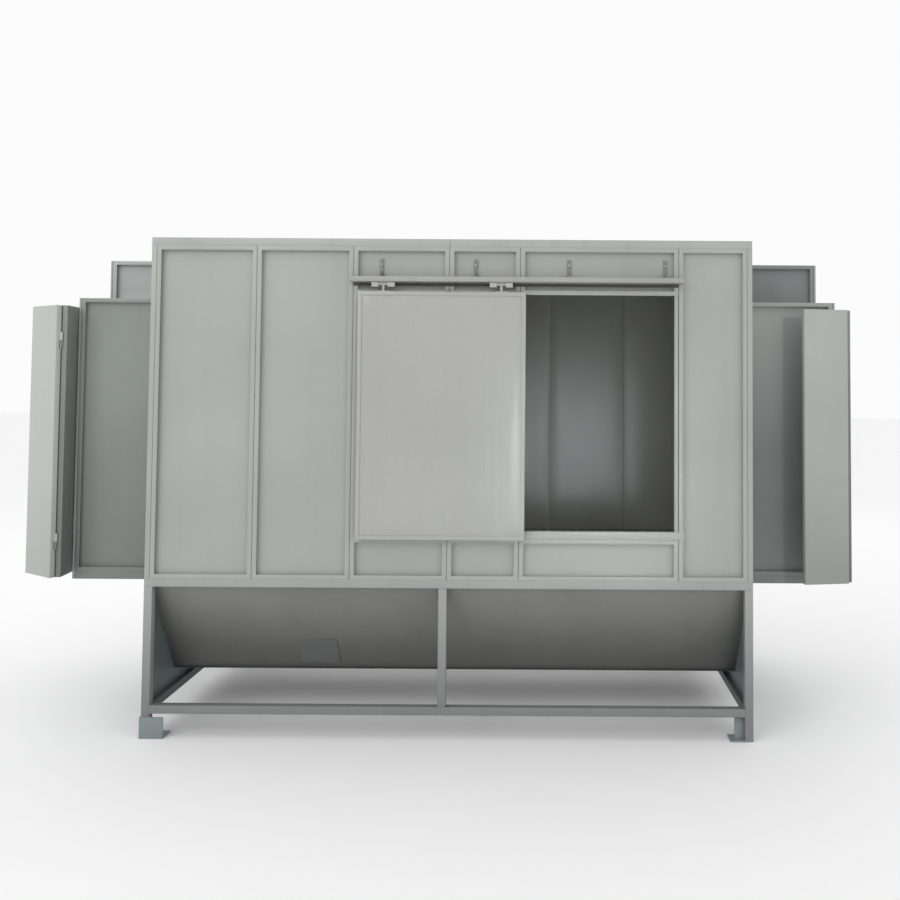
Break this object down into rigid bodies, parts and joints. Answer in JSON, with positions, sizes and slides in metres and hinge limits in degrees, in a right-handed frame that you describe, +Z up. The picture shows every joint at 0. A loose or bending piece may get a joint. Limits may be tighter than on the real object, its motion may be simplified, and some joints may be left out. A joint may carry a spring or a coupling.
{
  "type": "sandblast cabinet",
  "caption": "Sheet-metal blast cabinet on a tube stand with a hopper, a top-hung sliding door, and a stepped vestibule with folding baffle doors at each end.",
  "frame": {"origin": "on the floor, at the centre of the four floor anchor holes, under the cabinet's centre", "axes": "+X to the right seen from the front, +Y from the front to the rear, +Z up"},
  "size_m": [4.2904, 1.456, 2.48],
  "materials": {
    "shell_paint": "satin light grey enamel",
    "door_paint": "satin light grey enamel, a little glossier",
    "stand_paint": "satin grey enamel",
    "hopper_paint": "satin grey enamel",
    "vestibule_paint": "satin light grey enamel",
    "leaf_paint": "satin light grey enamel",
    "track_paint": "satin grey enamel over steel",
    "grate_steel": "blast-worn steel",
    "zinc_plate": "zinc plated"
  },
  "bodies": {
    "root": {"stand_legs": "stand_paint", "left_feet": "stand_paint", "right_feet": "stand_paint", "mid_posts": "stand_paint", "stand_top_rails": "stand_paint", "stand_bottom_rails": "stand_paint", "hopper_front_slope": "hopper_paint", "hopper_rear_slope": "hopper_paint", "trough_floor": "hopper_paint", "left_hopper_end": "hopper_paint", "right_hopper_end": "hopper_paint", "outlet_spigot": "hopper_paint", "grate_beams": "stand_paint", "grate_panels": "grate_steel", "corner_posts": "shell_paint", "front_panel_1": "shell_paint", "front_panel_2": "shell_paint", "right_front_panel": "shell_paint", "door_bay_panel_1": "shell_paint", "door_bay_panel_2": "shell_paint", "transom_1": "shell_paint", "transom_2": "shell_paint", "transom_3": "shell_paint", "apron_1": "shell_paint", "apron_2": "shell_paint", "apron_3": "shell_paint", "opening_jambs": "shell_paint", "sill": "shell_paint", "rear_wall_panels": "shell_paint", "roof_panels": "shell_paint", "top_caps": "shell_paint", "left_end_wall": "shell_paint", "right_end_wall": "shell_paint", "left_vestibule_sides": "vestibule_paint", "right_vestibule_sides": "vestibule_paint", "left_vestibule_roof": "vestibule_paint", "right_vestibule_roof": "vestibule_paint", "left_vestibule_floor": "vestibule_paint", "right_vestibule_floor": "vestibule_paint", "left_slot_hood": "vestibule_paint", "right_slot_hood": "vestibule_paint", "left_end_frame": "vestibule_paint", "right_end_frame": "vestibule_paint", "track_rail": "track_paint", "track_brackets": "track_paint", "bracket_bolts": "zinc_plate"},
    "door": {"door_leaf": "door_paint", "door_hangers": "track_paint"},
    "wheel_1": {"wheel_1": "zinc_plate"},
    "wheel_2": {"wheel_2": "zinc_plate"},
    "wheel_3": {"wheel_3": "zinc_plate"},
    "wheel_4": {"wheel_4": "zinc_plate"},
    "left_front_stile_leaf": {"left_front_stile_leaf": "leaf_paint"},
    "left_front_free_leaf": {"left_front_free_leaf": "leaf_paint"},
    "left_rear_stile_leaf": {"left_rear_stile_leaf": "leaf_paint"},
    "left_rear_free_leaf": {"left_rear_free_leaf": "leaf_paint"},
    "right_front_stile_leaf": {"right_front_stile_leaf": "leaf_paint"},
    "right_front_free_leaf": {"right_front_free_leaf": "leaf_paint"},
    "right_rear_stile_leaf": {"right_rear_stile_leaf": "leaf_paint"},
    "right_rear_free_leaf": {"right_rear_free_leaf": "leaf_paint"}
  },
  "joints": [
    {"name": "door_slide", "type": "slide", "parent": "root", "child": "door", "axis": [1, 0, 0], "range_m": [0, 0.76]},
    {"name": "wheel_1_roll", "type": "hinge", "parent": "door", "child": "wheel_1", "pos_m": [-0.3775, -0.728, 2.2713], "axis": [0, 1, 0], "range_deg": [-1, 5448]},
    {"name": "wheel_2_roll", "type": "hinge", "parent": "door", "child": "wheel_2", "pos_m": [-0.2975, -0.728, 2.2713], "axis": [0, 1, 0], "range_deg": [-1, 5448]},
    {"name": "wheel_3_roll", "type": "hinge", "parent": "door", "child": "wheel_3", "pos_m": [0.2105, -0.728, 2.2713], "axis": [0, 1, 0], "range_deg": [-1, 5448]},
    {"name": "wheel_4_roll", "type": "hinge", "parent": "door", "child": "wheel_4", "pos_m": [0.2905, -0.728, 2.2713], "axis": [0, 1, 0], "range_deg": [-1, 5448]},
    {"name": "left_front_stile_leaf_swing", "type": "hinge", "parent": "root", "child": "left_front_stile_leaf", "pos_m": [-2.0165, -0.404, 1.456], "axis": [0, 0, 1], "range_deg": [-185, 0]},
    {"name": "left_front_free_leaf_fold", "type": "hinge", "parent": "left_front_stile_leaf", "child": "left_front_free_leaf", "pos_m": [-2.02863, -0.56366, 1.456], "axis": [0, 0, 1], "range_deg": [-3, 127]},
    {"name": "left_rear_stile_leaf_swing", "type": "hinge", "parent": "root", "child": "left_rear_stile_leaf", "pos_m": [-2.0165, 0.404, 1.456], "axis": [0, 0, -1], "range_deg": [-185, 0]},
    {"name": "left_rear_free_leaf_fold", "type": "hinge", "parent": "left_rear_stile_leaf", "child": "left_rear_free_leaf", "pos_m": [-2.02863, 0.56366, 1.456], "axis": [0, 0, -1], "range_deg": [-3, 127]},
    {"name": "right_front_stile_leaf_swing", "type": "hinge", "parent": "root", "child": "right_front_stile_leaf", "pos_m": [2.0165, -0.404, 1.456], "axis": [0, 0, -1], "range_deg": [-178, 7]},
    {"name": "right_front_free_leaf_fold", "type": "hinge", "parent": "right_front_stile_leaf", "child": "right_front_free_leaf", "pos_m": [2.02201, -0.5619, 1.456], "axis": [0, 0, -1], "range_deg": [-84, 22]},
    {"name": "right_rear_stile_leaf_swing", "type": "hinge", "parent": "root", "child": "right_rear_stile_leaf", "pos_m": [2.0165, 0.404, 1.456], "axis": [0, 0, 1], "range_deg": [-178, 7]},
    {"name": "right_rear_free_leaf_fold", "type": "hinge", "parent": "right_rear_stile_leaf", "child": "right_rear_free_leaf", "pos_m": [2.02201, 0.5619, 1.456], "axis": [0, 0, 1], "range_deg": [-84, 22]}
  ],
  "couplings": [
    {"joint": "wheel_1_roll", "follows": "door_slide", "rad_per_m": 125},
    {"joint": "wheel_2_roll", "follows": "door_slide", "rad_per_m": 125},
    {"joint": "wheel_3_roll", "follows": "door_slide", "rad_per_m": 125},
    {"joint": "wheel_4_roll", "follows": "door_slide", "rad_per_m": 125}
  ]
}
